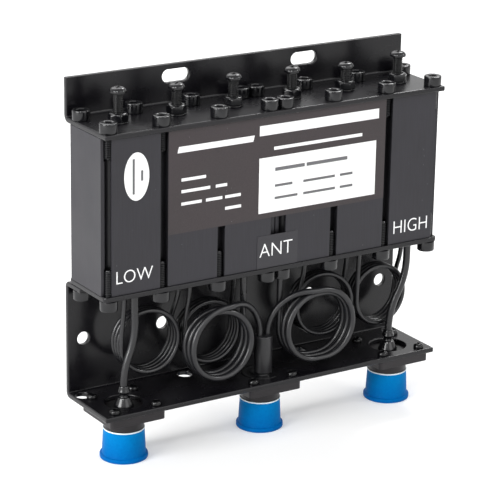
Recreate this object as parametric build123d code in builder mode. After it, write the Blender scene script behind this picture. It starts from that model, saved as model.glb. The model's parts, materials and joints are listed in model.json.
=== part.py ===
from build123d import *
from collections import namedtuple
import math
import os

# Six-cavity mobile duplexer. Millimetres, +X along its width, +Y to the back, +Z up.
# It stands on its three capped connectors. The origin is on that surface, under the middle.

os.makedirs("parts", exist_ok=True)

# Overall sheet sizes
width = 155.0
depth = 32.5
sheet = 2.0
top_bend_inner = 2.0
low_bend_inner = 1.0
edge_break = 0.25

# Clearances
running = 0.05
thread_play = 0.03
seat_gap = 0.3

# Levels, from the standing surface upwards
cap_floor = 1.0
barrel_length = 16.2
port_flange_t = 3.2
bay_height = 46.3
body_height = 61.4
flange_rise = 15.3
barrel_end = cap_floor + seat_gap
port_flange_bottom = barrel_end + barrel_length
shelf_bottom = port_flange_bottom + port_flange_t
shelf_top = shelf_bottom + sheet
bay_top = shelf_top + bay_height
body_bottom = bay_top + sheet
body_top = body_bottom + body_height
plate_top = body_top + sheet
front_y = -depth / 2
back_y = depth / 2

# Extruded cavity blocks: three round bores in a row, screw channels between them
block_setback = 1.5
block_back_gap = 5.0
block_end_gap = 0.1
seam_gap = 0.4
bore_wall = 1.75
end_wall = 1.45
side_wall = 1.2
channel_inset = 3.3
channel_depth = 2.5
channel_width = 3.4
tapped_depth_top = 9.0
tapped_depth_bottom = 10.5
block_length = width / 2 - seam_gap / 2 - block_end_gap
block_depth = depth - block_setback - block_back_gap
cavity_pitch = (block_length - 2 * end_wall + bore_wall) / 3
cavity_r = min(cavity_pitch / 2 - bore_wall / 2, block_depth / 2 - side_wall)
block_front = front_y + block_setback
block_mid_x = (block_length + seam_gap) / 2
cavity_y = block_front + block_depth / 2
channel_row = block_depth / 2 - channel_depth
channel_end_x = block_length / 2 - channel_inset
channel_xs = [-channel_end_x, -cavity_pitch / 2, cavity_pitch / 2, channel_end_x]
screw_xs = [side * block_mid_x + x for side in (-1, 1) for x in channel_xs]
front_row_y = cavity_y - channel_row
back_row_y = cavity_y + channel_row
cavity_xs = [side * block_mid_x + step * cavity_pitch for side in (-1, 1) for step in (-1, 0, 1)]

# Cap screws that clamp the plates to the blocks
cap_head_r = 3.5
cap_head_h = 4.0
cap_shank_r = 2.0
cap_hole_r = 2.25
cap_socket_af = 3.0
cap_socket_depth = 2.0
top_screw_length = 10.0
low_screw_length = 12.0

# Tuning screws, each with a lock nut on a washer
tuning_r = 1.75
tuning_length = 25.0
pan_head_r = 3.2
pan_head_h = 1.9
recess_span = 3.6
recess_width = 0.8
recess_depth = 1.0
nut_af = 7.0
nut_h = 3.2
nut_bevel = 0.35
washer_r = 3.9
washer_h = 0.75
tuning_heights = [11.8, 10.3, 10.9, 10.5, 9.3, 10.9]

# Mounting slots and holes in the two brackets
flange_slot_x = 29.6
flange_slot_length = 12.2
slot_width = 5.2
flange_slot_height = 10.6
wall_hole_r = 2.6
wall_hole_inset = 6.8
wall_hole_inner_x = 35.1
wall_hole_drop = 24.6
shelf_slot_inset = 4.5
shelf_slot_inner_x = 26.7
shelf_slot_length = 7.0
shelf_slot_setback = 6.2
rear_flange = 12.0
bottom_plate_setback = 0.8
bottom_plate_back = 3.0
plate_corner_r = 1.0
bottom_corner_r = 2.0

# Coax ports
port_inset = 14.6
port_setback = 12.4
port_x = width / 2 - port_inset
port_xs = [-port_x, 0.0, port_x]
port_names = ["low", "ant", "high"]
port_y = front_y + port_setback
barrel_r = 7.85
barrel_bore_r = 6.35
port_flange_side = 24.0
port_flange_corner = 1.5
port_screw_spacing = 18.26
port_screw_r = 1.25
port_head_r = 2.2
port_head_h = 2.0
port_screw_length = 5.0
port_socket_af = 2.0
port_socket_depth = 1.1
port_hole_r = 7.6
insulator_recess = 8.2
contact_r = 2.5
contact_bore_r = 2.0
contact_bore_depth = 14.0
contact_setback = 1.7
contact_slot = 0.6
contact_slot_depth = 6.0
solder_cup_r = 1.2
solder_cup_rise = 2.6

# Push-on dust caps
cap_height = 12.2
cap_r_top = 8.45
cap_r_bottom = 8.6
cap_rim_r = 9.5
cap_rim_h = 1.7
cap_edge_r = 0.4
cap_fit = 0.1

# Boots and the tee sleeve behind the ports
boot_base_r = 3.25
boot_neck_r = 2.05
boot_flare_r = 2.6
boot_cone_h = 4.3
boot_height = 8.9
boot_base_h = 0.6
boot_chamber_h = 3.6
boot_chamber_r = 1.8
tee_offset = 1.2
tee_r = 3.65
tee_base_r = 4.3
tee_base_h = 1.6
tee_height = 17.8
tee_wall = 0.55
tee_roof = 1.5
tee_edge_r = 0.5
tee_lead_spacing = 3.5

# Cables
thick_r = 1.5
front_r = 1.25
thin_r = 0.95
cable_entry = 1.5
plate_hole_play = 0.15
low_cable_straight = 15.0
high_cable_straight = 9.0
thin_lead_straight = 3.5
front_crest = 15.7

# Helical resonators and coupling loops inside the cavities
helix_wire_r = 1.1
helix_r = 6.2
helix_pitch = 6.0
helix_turns = 4
helix_start = 10.5
helix_foot_bend = 3.0
loop_wire_r = 0.5
loop_span = 3.2
loop_rise = 5.0


def save(part, name):
    """Label a finished part and write it to its own file."""
    part.label = name
    export_step(part, f"parts/{name}.step")


def socket_screw(head_r, head_h, shank_r, length, socket_af, socket_depth):
    """Return a socket head screw, head up, with the seat of its head at the origin."""
    with BuildPart(mode=Mode.PRIVATE) as screw:
        with BuildSketch(Plane.XY):
            Circle(head_r)
        extrude(amount=head_h)
        chamfer(screw.edges().sort_by(Axis.Z)[-1], head_h * 0.08)
        with BuildSketch(Plane.XY):
            Circle(shank_r)
        extrude(amount=-length)
        with BuildSketch(Plane.XY.offset(head_h)):
            RegularPolygon(radius=socket_af / 2, side_count=6, major_radius=False)
        extrude(amount=-socket_depth, mode=Mode.SUBTRACT)
    return screw.part


def tuning_screw(height):
    """Return one tuning screw whose pan head's seat stands this far above the top plate."""
    with BuildPart(mode=Mode.PRIVATE) as screw:
        with BuildSketch(Plane.XZ):
            with BuildLine():
                Line((0, height - tuning_length), (tuning_r - 0.5, height - tuning_length))
                Line((tuning_r - 0.5, height - tuning_length), (tuning_r, height - tuning_length + 0.5))
                Line((tuning_r, height - tuning_length + 0.5), (tuning_r, height))
                Line((tuning_r, height), (pan_head_r, height))
                Line((pan_head_r, height), (pan_head_r, height + pan_head_h * 0.35))
                ThreePointArc(
                    (pan_head_r, height + pan_head_h * 0.35),
                    (pan_head_r * 0.78, height + pan_head_h * 0.84),
                    (pan_head_r * 0.35, height + pan_head_h),
                )
                Line((pan_head_r * 0.35, height + pan_head_h), (0, height + pan_head_h))
                Line((0, height + pan_head_h), (0, height - tuning_length))
            make_face()
        revolve(axis=Axis.Z)
        with BuildSketch(Plane.XY.offset(height + pan_head_h)):
            Rectangle(recess_span, recess_width, rotation=45)
            Rectangle(recess_width, recess_span, rotation=45)
        extrude(amount=-recess_depth, mode=Mode.SUBTRACT)
    return screw.part


def half_turns(points, way, radius=math.inf):
    """Add half turns through the points, the first one bulging the given way.

    A half turn wider than twice the radius gets a straight run between two quarter circles."""
    for number, (start, end) in enumerate(zip(points, points[1:])):
        start, end = Vector(*start), Vector(*end)
        along = (end - start).normalized()
        bend = min(radius, (end - start).length / 2)
        bulge = Vector(*way) * (bend if number % 2 == 0 else -bend)
        first, last = start + along * bend + bulge, end - along * bend + bulge
        if (last - first).length > 0.01:
            TangentArc(start, first, tangent=bulge)
            Line(first, last)
            TangentArc(last, end, tangent=along)
        else:
            ThreePointArc(start, first, end)


def coil_points(first_side, second_side, front, swing, pitch, level, halves):
    """Return the side points of a coil that steps half a pitch to the back each half turn.

    The swing brings its second side that much nearer to the front than its first."""
    sides = [(first_side, front), (second_side, front - swing)]
    return [(sides[half % 2][0], sides[half % 2][1] + half * pitch / 2, level) for half in range(halves + 1)]


def jog(start, end):
    """Add an S bend of two equal arcs between two points, upright at both of them."""
    start, end = Vector(*start), Vector(*end)
    rise = end.Z - start.Z
    shift = Vector(end.X - start.X, end.Y - start.Y, 0)
    radius = (rise**2 + shift.length**2) / (4 * shift.length)
    half_bend = math.asin(abs(rise) / (2 * radius)) / 2
    lift = Vector(0, 0, math.copysign(radius * math.sin(half_bend), rise))
    lean = shift.normalized() * radius * (1 - math.cos(half_bend))
    middle = (start + end) * 0.5
    ThreePointArc(start, start + lift + lean, middle)
    ThreePointArc(middle, end - lift - lean, end)


def arch(start, end, crest):
    """Add an arch from an upward start to a downward end, its top at the crest level.

    It climbs a quarter circle aslant, swings level until it runs along X, and comes down a
    quarter circle in the plane of the end point."""
    climb = crest - start[2]
    drop = crest - end[2]
    way = 1 if end[0] > start[0] else -1
    reach_x = abs(end[0] - start[0]) - drop
    reach_y = end[1] - start[1]
    slant = 2 * math.atan(reach_y / (reach_x + climb))
    heading = Vector(way * math.cos(slant), math.sin(slant), 0)
    centre = Vector(*start) + heading * climb
    top = centre + Vector(0, 0, climb)
    quarter = math.sqrt(0.5)
    ThreePointArc(start, centre + (Vector(0, 0, 1) - heading) * (climb * quarter), top)
    shoulder = Vector(end[0] - way * drop, end[1], crest)
    TangentArc(top, shoulder, tangent=heading)
    last_mid = Vector(end[0] - way * drop * (1 - quarter), end[1], end[2] + drop * quarter)
    ThreePointArc(shoulder, last_mid, end)


def wire_loop(foot, far, crest):
    """Add a hoop from one foot to the other, its top at the crest level."""
    radius = abs(far[0] - foot[0]) / 2
    left, right = (foot[0], foot[1], crest - radius), (far[0], far[1], crest - radius)
    Line(foot, left)
    half_turns([left, right], (0, 0, 1))
    Line(right, far)


# Top bracket: a cover plate over the cavities with an upright mounting flange behind it
with BuildPart() as top_bracket:
    with BuildSketch(Plane.YZ) as angle:
        with BuildLine():
            Polyline(
                (front_y, body_top),
                (back_y, body_top),
                (back_y, plate_top + flange_rise),
                (back_y - sheet, plate_top + flange_rise),
                (back_y - sheet, plate_top),
                (front_y, plate_top),
                close=True,
            )
        make_face()
        fillet(angle.vertices().filter_by(lambda v: v.Z == body_top and v.Y == back_y), top_bend_inner + sheet)
        fillet(angle.vertices().filter_by(lambda v: v.Z == plate_top and v.Y == back_y - sheet), top_bend_inner)
    extrude(amount=width / 2, both=True)
    fillet(top_bracket.edges().filter_by(Axis.Z).group_by(Axis.Y)[0], plate_corner_r)
    fillet(top_bracket.edges().filter_by(Axis.Y).group_by(Axis.Z)[-1], plate_corner_r)
    with BuildSketch(Plane.XY.offset(plate_top)):
        with Locations(*[(x, y) for x in screw_xs for y in (front_row_y, back_row_y)]):
            Circle(cap_hole_r)
        with Locations(*[(x, cavity_y) for x in cavity_xs]):
            Circle(tuning_r + running)
    extrude(amount=-sheet, mode=Mode.SUBTRACT)
    with BuildSketch(Plane.XZ.offset(-back_y)):
        with Locations(*[(side * flange_slot_x, plate_top + flange_slot_height) for side in (-1, 1)]):
            SlotOverall(flange_slot_length, slot_width)
    extrude(amount=sheet, mode=Mode.SUBTRACT)
save(top_bracket.part, "top_bracket")

# Cavity blocks: one extrusion each, its screw channels open to the front and the back. The end
# ones lie in notches at the front corners.
for name, side in (("cavity_block_low", -1), ("cavity_block_high", 1)):
    with BuildPart() as block:
        with BuildSketch(Plane.XY.offset(body_bottom)):
            with Locations((side * block_mid_x, cavity_y)):
                Rectangle(block_length, block_depth)
                with GridLocations(cavity_pitch, 0, 3, 1):
                    Circle(cavity_r, mode=Mode.SUBTRACT)
                for row, slots in ((-1, channel_xs[1:3]), (1, channel_xs)):
                    with Locations(*[(x, row * channel_row) for x in channel_xs]):
                        Circle(channel_width / 2, mode=Mode.SUBTRACT)
                    with Locations(*[(x, row * block_depth / 2) for x in slots]):
                        Rectangle(channel_width, 2 * channel_depth, mode=Mode.SUBTRACT)
                with Locations(*[(end * block_length / 2, -block_depth / 2) for end in (-1, 1)]):
                    Rectangle(2 * channel_inset, 2 * channel_depth, mode=Mode.SUBTRACT)
        extrude(amount=body_height)
        for level, reach in ((body_bottom, tapped_depth_bottom), (body_top, -tapped_depth_top)):
            with BuildSketch(Plane.XY.offset(level)):
                with Locations((side * block_mid_x, cavity_y)):
                    with Locations(*[(x, row * channel_row) for x in channel_xs for row in (-1, 1)]):
                        Circle(cap_shank_r + thread_play)
            extrude(amount=reach, mode=Mode.SUBTRACT)
    save(block.part, name)

# Coils of the held leads. Their sides are set off from the axes of the cavities that they join,
# their levels from the shelf, and their ends by shares of the cavity radius from those axes.
Coil = namedtuple(
    "Coil", "cavities sides setback swing pitch rise halves ends radius", defaults=[None, math.inf]
)
thin_coils = {
    "cable_1_to_2": Coil((0, 1), (1.75, 1.1), 15.2, 2.4, 2.2, 21.7, 7, (0.267, 0.373)),
    "cable_2_to_3": Coil((1, 2), (5.1, 4.35), 16.0, 1.7, 2.0, 20.1, 7, (0.644, 0.386)),
    "cable_4_to_5": Coil((3, 4), (6.45, 6.1), 16.6, 3.0, 2.05, 22.2, 7, (0.809, 0.559)),
    "cable_5_to_6": Coil((4, 5), (9.4, 8.25), 15.2, 0.0, 2.1, 21.5, 7, (0.847, 0.742)),
}
front_coils = {
    "cable_3_to_antenna": Coil((1, 2), (3.1, 4.85), 5.5, 0.8, 3.2, 17.6, 5),
    "cable_antenna_to_4": Coil((4, 3), (0.8, -4.45), 5.5, 0.8, 3.35, 17.2, 5, None, 13.6),
}
thin_exit_share = 0.381
low_entry_share = 0.513
high_entry_share = 0.572


def side_points(coil):
    """Return a coil's side points."""
    first, second = [cavity_xs[cavity] + side for cavity, side in zip(coil.cavities, coil.sides)]
    return coil_points(
        first, second, front_y + coil.setback, coil.swing, coil.pitch, shelf_top + coil.rise, coil.halves
    )


thick_entries = [
    (cavity_xs[0] + low_entry_share * cavity_r, port_y),
    (cavity_xs[-1] + high_entry_share * cavity_r, port_y),
]
front_entries = [side_points(coil)[-1][:2] for coil in front_coils.values()]
thin_entries = []
for coil in thin_coils.values():
    start_x, end_x = [cavity_xs[cavity] + end * cavity_r for cavity, end in zip(coil.cavities, coil.ends)]
    thin_entries.append((start_x, front_y + coil.setback))
    thin_entries.append((end_x, cavity_y + thin_exit_share * cavity_r))
entry_level = body_bottom + cable_entry

# Bottom plate: closes the cavities from below and passes the cables
with BuildPart() as bottom_plate:
    with BuildSketch(Plane.XY.offset(bay_top)):
        plate_depth = depth - bottom_plate_setback - bottom_plate_back
        with Locations((0, front_y + bottom_plate_setback + plate_depth / 2)):
            RectangleRounded(width, plate_depth, bottom_corner_r)
        with Locations(*[(x, y) for x in screw_xs for y in (front_row_y, back_row_y)]):
            Circle(cap_hole_r, mode=Mode.SUBTRACT)
        for entries, cable_r in ((thick_entries, thick_r), (front_entries, front_r), (thin_entries, thin_r)):
            with Locations(*entries):
                Circle(cable_r + plate_hole_play, mode=Mode.SUBTRACT)
    extrude(amount=sheet)
save(bottom_plate.part, "bottom_plate")

# Lower bracket: short flange under the bottom plate, a wall and the shelf that carries the ports
shelf_hole_spots = [(x, port_y) for x in port_xs]
with BuildPart() as lower_bracket:
    with BuildSketch(Plane.YZ) as channel:
        with BuildLine():
            Polyline(
                (back_y - rear_flange, bay_top),
                (back_y, bay_top),
                (back_y, shelf_bottom),
                (front_y, shelf_bottom),
                (front_y, shelf_top),
                (back_y - sheet, shelf_top),
                (back_y - sheet, bay_top - sheet),
                (back_y - rear_flange, bay_top - sheet),
                close=True,
            )
        make_face()
        fillet(channel.vertices().filter_by(lambda v: v.Y == back_y), low_bend_inner + sheet)
        fillet(channel.vertices().filter_by(lambda v: v.Y == back_y - sheet), low_bend_inner)
    extrude(amount=width / 2, both=True)
    fillet(lower_bracket.edges().filter_by(Axis.Z).group_by(Axis.Y)[0], plate_corner_r)
    with BuildSketch(Plane.XY.offset(bay_top)):
        with Locations(*[(x, back_row_y) for x in screw_xs]):
            Circle(cap_hole_r)
    extrude(amount=-sheet, mode=Mode.SUBTRACT)
    with BuildSketch(Plane.XZ.offset(-back_y)):
        wall_xs = [side * x for side in (-1, 1) for x in (width / 2 - wall_hole_inset, wall_hole_inner_x)]
        with Locations(*[(x, bay_top - wall_hole_drop) for x in wall_xs]):
            Circle(wall_hole_r)
    extrude(amount=sheet, mode=Mode.SUBTRACT)
    with BuildSketch(Plane.XY.offset(shelf_top)):
        with Locations(*shelf_hole_spots):
            Circle(port_hole_r)
            with GridLocations(port_screw_spacing, port_screw_spacing, 2, 2):
                Circle(port_screw_r + running)
        slot_xs = [side * x for side in (-1, 1) for x in (width / 2 - shelf_slot_inset, shelf_slot_inner_x)]
        with Locations(*[(x, back_y - shelf_slot_setback) for x in slot_xs]):
            SlotOverall(shelf_slot_length, slot_width, rotation=90)
    extrude(amount=-sheet, mode=Mode.SUBTRACT)
save(lower_bracket.part, "lower_bracket")

# Cap screws, one group above and one below
top_cap = socket_screw(cap_head_r, cap_head_h, cap_shank_r, top_screw_length, cap_socket_af, cap_socket_depth)
with BuildPart() as top_cap_screws:
    with Locations(*[(x, y, plate_top) for x in screw_xs for y in (front_row_y, back_row_y)]):
        add(top_cap)
save(top_cap_screws.part, "top_cap_screws")

low_cap = socket_screw(cap_head_r, cap_head_h, cap_shank_r, low_screw_length, cap_socket_af, cap_socket_depth)
with BuildPart() as bottom_cap_screws:
    with Locations(*[Location((x, front_row_y, bay_top), (180, 0, 0)) for x in screw_xs]):
        add(low_cap)
    with Locations(*[Location((x, back_row_y, bay_top - sheet), (180, 0, 0)) for x in screw_xs]):
        add(low_cap)
save(bottom_cap_screws.part, "bottom_cap_screws")

# Tuning screws, their washers and lock nuts
with BuildPart() as lock_washers:
    with BuildSketch(Plane.XY.offset(plate_top)):
        with Locations(*[(x, cavity_y) for x in cavity_xs]):
            Circle(washer_r)
            Circle(tuning_r + 4 * running, mode=Mode.SUBTRACT)
    extrude(amount=washer_h)
save(lock_washers.part, "lock_washers")

nut_seat = plate_top + washer_h + running
for number, (x, height) in enumerate(zip(cavity_xs, tuning_heights), start=1):
    with BuildPart() as screw:
        with Locations((x, cavity_y, plate_top)):
            add(tuning_screw(height))
    save(screw.part, f"tuning_screw_{number}")

    with BuildPart() as nut:
        with BuildSketch(Plane.XY.offset(nut_seat)):
            with Locations((x, cavity_y)):
                RegularPolygon(radius=nut_af / 2, side_count=6, major_radius=False, rotation=17 * number)
        extrude(amount=nut_h)
        with BuildSketch(Plane.XY.offset(nut_seat)):
            with Locations((x, cavity_y)):
                Circle(nut_af / 2 + nut_h - nut_bevel)
        extrude(amount=nut_h, taper=45, mode=Mode.INTERSECT)
        with Locations((x, cavity_y, nut_seat + nut_h / 2)):
            Hole(tuning_r + running, nut_h)
    save(nut.part, f"lock_nut_{number}")

# Helical resonators: heavy wire coils that stand on the bottom plate, their tops free
for number, x in enumerate(cavity_xs, start=1):
    with BuildPart() as resonator:
        with BuildLine() as route:
            first_turn = body_bottom + helix_start
            foot_x = x - helix_foot_bend
            near_y = cavity_y - helix_r
            knee = (foot_x, near_y, first_turn - helix_foot_bend)
            Line((foot_x, near_y, body_bottom), knee)
            TangentArc(knee, (x, near_y, first_turn), tangent=(0, 0, 1))
            turns = [
                (x, cavity_y + (helix_r if half % 2 else -helix_r), first_turn + half * helix_pitch / 2)
                for half in range(2 * helix_turns + 1)
            ]
            half_turns(turns, (1, 0, 0))
        with BuildSketch(Plane((foot_x, near_y, body_bottom))):
            Circle(helix_wire_r)
        sweep()
    save(resonator.part, f"resonator_{number}")

# Coupling loops at the cable ends inside the cavities
with BuildPart() as coupling_loops:
    for x, y in thick_entries + front_entries + thin_entries:
        with BuildLine() as route:
            wire_loop((x, y, entry_level), (x - loop_span, y, body_bottom), entry_level + loop_rise)
        with BuildSketch(Plane((x, y, entry_level))):
            Circle(loop_wire_r)
        sweep()
save(coupling_loops.part, "coupling_loops")

# Coax ports: flanged barrel, insulator and slotted centre contact
for name, x in zip(port_names, port_xs):
    with BuildPart() as body:
        with BuildSketch(Plane.XY.offset(port_flange_bottom)):
            with Locations((x, port_y)):
                RectangleRounded(port_flange_side, port_flange_side, port_flange_corner)
                with GridLocations(port_screw_spacing, port_screw_spacing, 2, 2):
                    Circle(port_screw_r + thread_play, mode=Mode.SUBTRACT)
        extrude(amount=port_flange_t)
        with BuildSketch(Plane.XY.offset(barrel_end)):
            with Locations((x, port_y)):
                Circle(barrel_r)
        extrude(amount=barrel_length)
        chamfer(body.faces().sort_by(Axis.Z)[0].edges(), edge_break)
        with BuildSketch(Plane.XY.offset(barrel_end)):
            with Locations((x, port_y)):
                Circle(barrel_bore_r)
        extrude(amount=barrel_length + port_flange_t, mode=Mode.SUBTRACT)
    save(body.part, f"port_body_{name}")

    with BuildPart() as insulator:
        with BuildSketch(Plane.XY.offset(barrel_end + insulator_recess)):
            with Locations((x, port_y)):
                Circle(barrel_bore_r)
                Circle(contact_r, mode=Mode.SUBTRACT)
        extrude(amount=barrel_length + port_flange_t - insulator_recess)
    save(insulator.part, f"port_insulator_{name}")

    with BuildPart() as contact:
        with BuildSketch(Plane.XY.offset(barrel_end + contact_setback)):
            with Locations((x, port_y)):
                Circle(contact_r)
        extrude(amount=barrel_length + port_flange_t - contact_setback)
        with BuildSketch(Plane.XY.offset(shelf_bottom)):
            with Locations((x, port_y)):
                Circle(solder_cup_r)
        extrude(amount=solder_cup_rise)
        with BuildSketch(Plane.XY.offset(barrel_end + contact_setback)):
            with Locations((x, port_y)):
                Circle(contact_bore_r)
        extrude(amount=contact_bore_depth, mode=Mode.SUBTRACT)
        with BuildSketch(Plane.XY.offset(barrel_end + contact_setback)):
            with Locations((x, port_y)):
                Rectangle(3 * contact_r, contact_slot)
                Rectangle(contact_slot, 3 * contact_r)
        extrude(amount=contact_slot_depth, mode=Mode.SUBTRACT)
    save(contact.part, f"port_contact_{name}")

    with BuildPart() as cap:
        with BuildSketch(Plane.XZ.offset(-port_y)):
            with BuildLine():
                Polyline(
                    (x, 0),
                    (x + cap_rim_r, 0),
                    (x + cap_rim_r, cap_rim_h),
                    (x + cap_r_bottom, cap_rim_h),
                    (x + cap_r_top, cap_height),
                    (x + barrel_r + cap_fit, cap_height),
                    (x + barrel_r + cap_fit, cap_floor),
                    (x, cap_floor),
                    close=True,
                )
            make_face()
        revolve(axis=Axis((x, port_y, 0), (0, 0, 1)))
        fillet(cap.edges().filter_by(GeomType.CIRCLE).group_by(Axis.Z)[0], cap_edge_r)
    save(cap.part, f"dust_cap_{name}")

port_screw = socket_screw(
    port_head_r, port_head_h, port_screw_r, port_screw_length, port_socket_af, port_socket_depth
)
with BuildPart() as port_screws:
    with Locations(*[(x, port_y, shelf_top) for x in port_xs]):
        with GridLocations(port_screw_spacing, port_screw_spacing, 2, 2):
            add(port_screw)
save(port_screws.part, "port_screws")

# Boots over the solder cups of the two outer ports
for name, x in (("low", port_xs[0]), ("high", port_xs[2])):
    with BuildPart() as boot:
        with BuildSketch(Plane.XZ.offset(-port_y)):
            with BuildLine():
                neck = (x + boot_neck_r, shelf_bottom + boot_cone_h)
                lip = (x + boot_neck_r, shelf_bottom + boot_height)
                flare = (x + boot_flare_r, (neck[1] + lip[1]) / 2)
                Polyline(
                    lip,
                    (x + thick_r, shelf_bottom + boot_height),
                    (x + thick_r, shelf_bottom + boot_chamber_h),
                    (x + boot_chamber_r, shelf_bottom + boot_chamber_h),
                    (x + boot_chamber_r, shelf_bottom),
                    (x + boot_base_r, shelf_bottom),
                    (x + boot_base_r, shelf_bottom + boot_base_h),
                    neck,
                )
                ThreePointArc(neck, flare, lip)
            make_face()
        revolve(axis=Axis((x, port_y, 0), (0, 0, 1)))
    save(boot.part, f"cable_boot_{name}")

# Tee sleeve that joins both middle cables to the antenna port
tee_top = shelf_bottom + tee_height
tee_lead_low = (tee_offset - tee_lead_spacing / 2, port_y)
tee_lead_high = (tee_offset + tee_lead_spacing / 2, port_y)
with BuildPart() as tee_sleeve:
    with BuildSketch(Plane.XY.offset(shelf_bottom)):
        with Locations((tee_offset, port_y)):
            Circle(tee_base_r)
    extrude(amount=tee_base_h)
    with BuildSketch(Plane.XY.offset(shelf_bottom)):
        with Locations((tee_offset, port_y)):
            Circle(tee_r)
    extrude(amount=tee_height)
    fillet(tee_sleeve.faces().sort_by(Axis.Z)[-1].edges(), tee_edge_r)
    with BuildSketch(Plane.XY.offset(shelf_bottom)):
        with Locations((tee_offset, port_y)):
            Circle(tee_r - tee_wall)
    extrude(amount=tee_height - tee_roof, mode=Mode.SUBTRACT)
    with BuildSketch(Plane.XY.offset(tee_top - tee_roof)):
        with Locations(tee_lead_low, tee_lead_high):
            Circle(front_r)
    extrude(amount=tee_roof, mode=Mode.SUBTRACT)
save(tee_sleeve.part, "tee_sleeve")

# Thick cables from the outer ports up to the outer cavities
boot_top = shelf_bottom + boot_height
for name, x, entry, straight in (
    ("cable_low_to_1", port_xs[0], thick_entries[0], low_cable_straight),
    ("cable_6_to_high", port_xs[2], thick_entries[1], high_cable_straight),
):
    with BuildPart() as cable:
        with BuildLine() as route:
            start = (x, port_y, shelf_bottom + boot_chamber_h)
            bend_end = (entry[0], entry[1], bay_top - straight)
            Line(start, (x, port_y, boot_top))
            jog((x, port_y, boot_top), bend_end)
            Line(bend_end, (entry[0], entry[1], entry_level))
        with BuildSketch(Plane(start)):
            Circle(thick_r)
        sweep()
    save(cable.part, name)

# Coiled cables from the tee sleeve to the two middle cavities
for (name, coil), lead, entry in zip(front_coils.items(), (tee_lead_low, tee_lead_high), front_entries):
    with BuildPart() as cable:
        with BuildLine() as route:
            start = (lead[0], lead[1], tee_top - tee_roof)
            port_exit = (lead[0], lead[1], tee_top)
            turns = side_points(coil)
            Line(start, port_exit)
            arch(port_exit, turns[0], turns[0][2] + front_crest)
            half_turns(turns, (0, 0, -1), coil.radius)
            Line(turns[-1], (entry[0], entry[1], entry_level))
        with BuildSketch(Plane(start)):
            Circle(front_r)
        sweep()
    save(cable.part, name)

# Thin coiled cables between neighbouring cavities
for (name, coil), start, end in zip(thin_coils.items(), thin_entries[::2], thin_entries[1::2]):
    with BuildPart() as cable:
        with BuildLine() as route:
            turns = side_points(coil)
            lead_start = (start[0], start[1], bay_top - thin_lead_straight)
            lead_end = (end[0], end[1], bay_top - thin_lead_straight)
            Line((start[0], start[1], entry_level), lead_start)
            jog(lead_start, turns[0])
            half_turns(turns, (0, 0, -1), coil.radius)
            jog(turns[-1], lead_end)
            Line(lead_end, (end[0], end[1], entry_level))
        with BuildSketch(Plane((start[0], start[1], entry_level))):
            Circle(thin_r)
        sweep()
    save(cable.part, name)
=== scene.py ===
"""Dresses the six-cavity mobile duplexer: finishes, printed panels, threads, camera and light."""

from __future__ import annotations

import json
import logging
import math
from dataclasses import dataclass
from enum import Enum

import bmesh
import bpy
from mathutils import Matrix, Vector

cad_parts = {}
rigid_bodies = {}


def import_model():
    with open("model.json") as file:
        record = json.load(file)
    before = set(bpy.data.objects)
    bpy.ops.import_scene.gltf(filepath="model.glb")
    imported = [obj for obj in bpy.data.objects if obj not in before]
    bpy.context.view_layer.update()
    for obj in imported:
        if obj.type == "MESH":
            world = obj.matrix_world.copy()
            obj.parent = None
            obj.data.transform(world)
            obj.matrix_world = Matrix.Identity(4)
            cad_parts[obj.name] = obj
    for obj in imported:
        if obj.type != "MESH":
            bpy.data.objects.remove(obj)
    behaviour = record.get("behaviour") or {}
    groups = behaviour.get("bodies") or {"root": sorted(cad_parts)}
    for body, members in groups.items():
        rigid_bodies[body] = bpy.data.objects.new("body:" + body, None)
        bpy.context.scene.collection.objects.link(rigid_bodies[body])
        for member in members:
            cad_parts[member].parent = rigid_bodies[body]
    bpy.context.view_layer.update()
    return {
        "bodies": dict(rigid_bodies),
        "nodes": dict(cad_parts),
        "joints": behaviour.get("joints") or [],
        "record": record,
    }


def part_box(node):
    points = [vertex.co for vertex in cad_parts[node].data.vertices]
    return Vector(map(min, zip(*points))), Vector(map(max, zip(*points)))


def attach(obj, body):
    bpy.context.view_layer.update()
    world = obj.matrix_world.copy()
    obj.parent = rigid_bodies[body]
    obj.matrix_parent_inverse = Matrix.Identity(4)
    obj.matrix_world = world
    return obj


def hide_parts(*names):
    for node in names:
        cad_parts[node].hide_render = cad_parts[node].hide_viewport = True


log = logging.getLogger("duplexer")

# The script's own lengths are in millimetres, unless a name or a docstring says otherwise.
# Values that go straight to Blender are in metres.
MM = 0.001
HOUSING = "housing"
PORT_XS = {"low": -62.9, "ant": 0.0, "high": 62.9}
PORT_Y = -3.85
PORT_SCREW = 9.13
CAP_HEAD_R = 3.5
SHEET = 2.0
MOTTLE_PER_METRE = 45.0
MOTTLE_SHARE = 0.4
NOISE_SPAN = (0.35, 0.65)
RAMP_STOPS = (0.38, 0.62)
DENT_MM = 0.05
CAVITIES = range(1, 7)
# A form is its vertices and faces. A hole is its centre, axis, radius and how far a slot runs beyond it.
Point = tuple[float, float, float]
Flat = tuple[float, float]
Form = tuple[list[Point], list[tuple[int, ...]]]
Hole = tuple[Point, Point, float, float]
Outline = list[Flat]
Piece = bpy.types.Object
Node = bpy.types.Node
Tree = bpy.types.NodeTree
Socket = bpy.types.NodeSocket
UP: Point = (0, 0, 1)
BACK: Point = (0, 1, 0)


class Slot(Enum):
    """Material slots of the record."""

    ANODISED = "black_anodised"
    PAINT = "black_painted_steel"
    OXIDE = "black_oxide_steel"
    HARDWARE = "blackened_hardware"
    COPPER = "copper_wire"
    NICKEL = "dark_nickel"
    INSULATOR = "insulator_plastic"
    BRASS = "contact_brass"
    VINYL = "blue_plastic"
    RUBBER = "boot_rubber"
    SLEEVE = "sleeve_plastic"
    JACKET = "cable_jacket"


class Ring(Enum):
    """Shapes that a turned piece's ring can have."""

    ROUND = "round"
    HEX = "hex"


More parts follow.
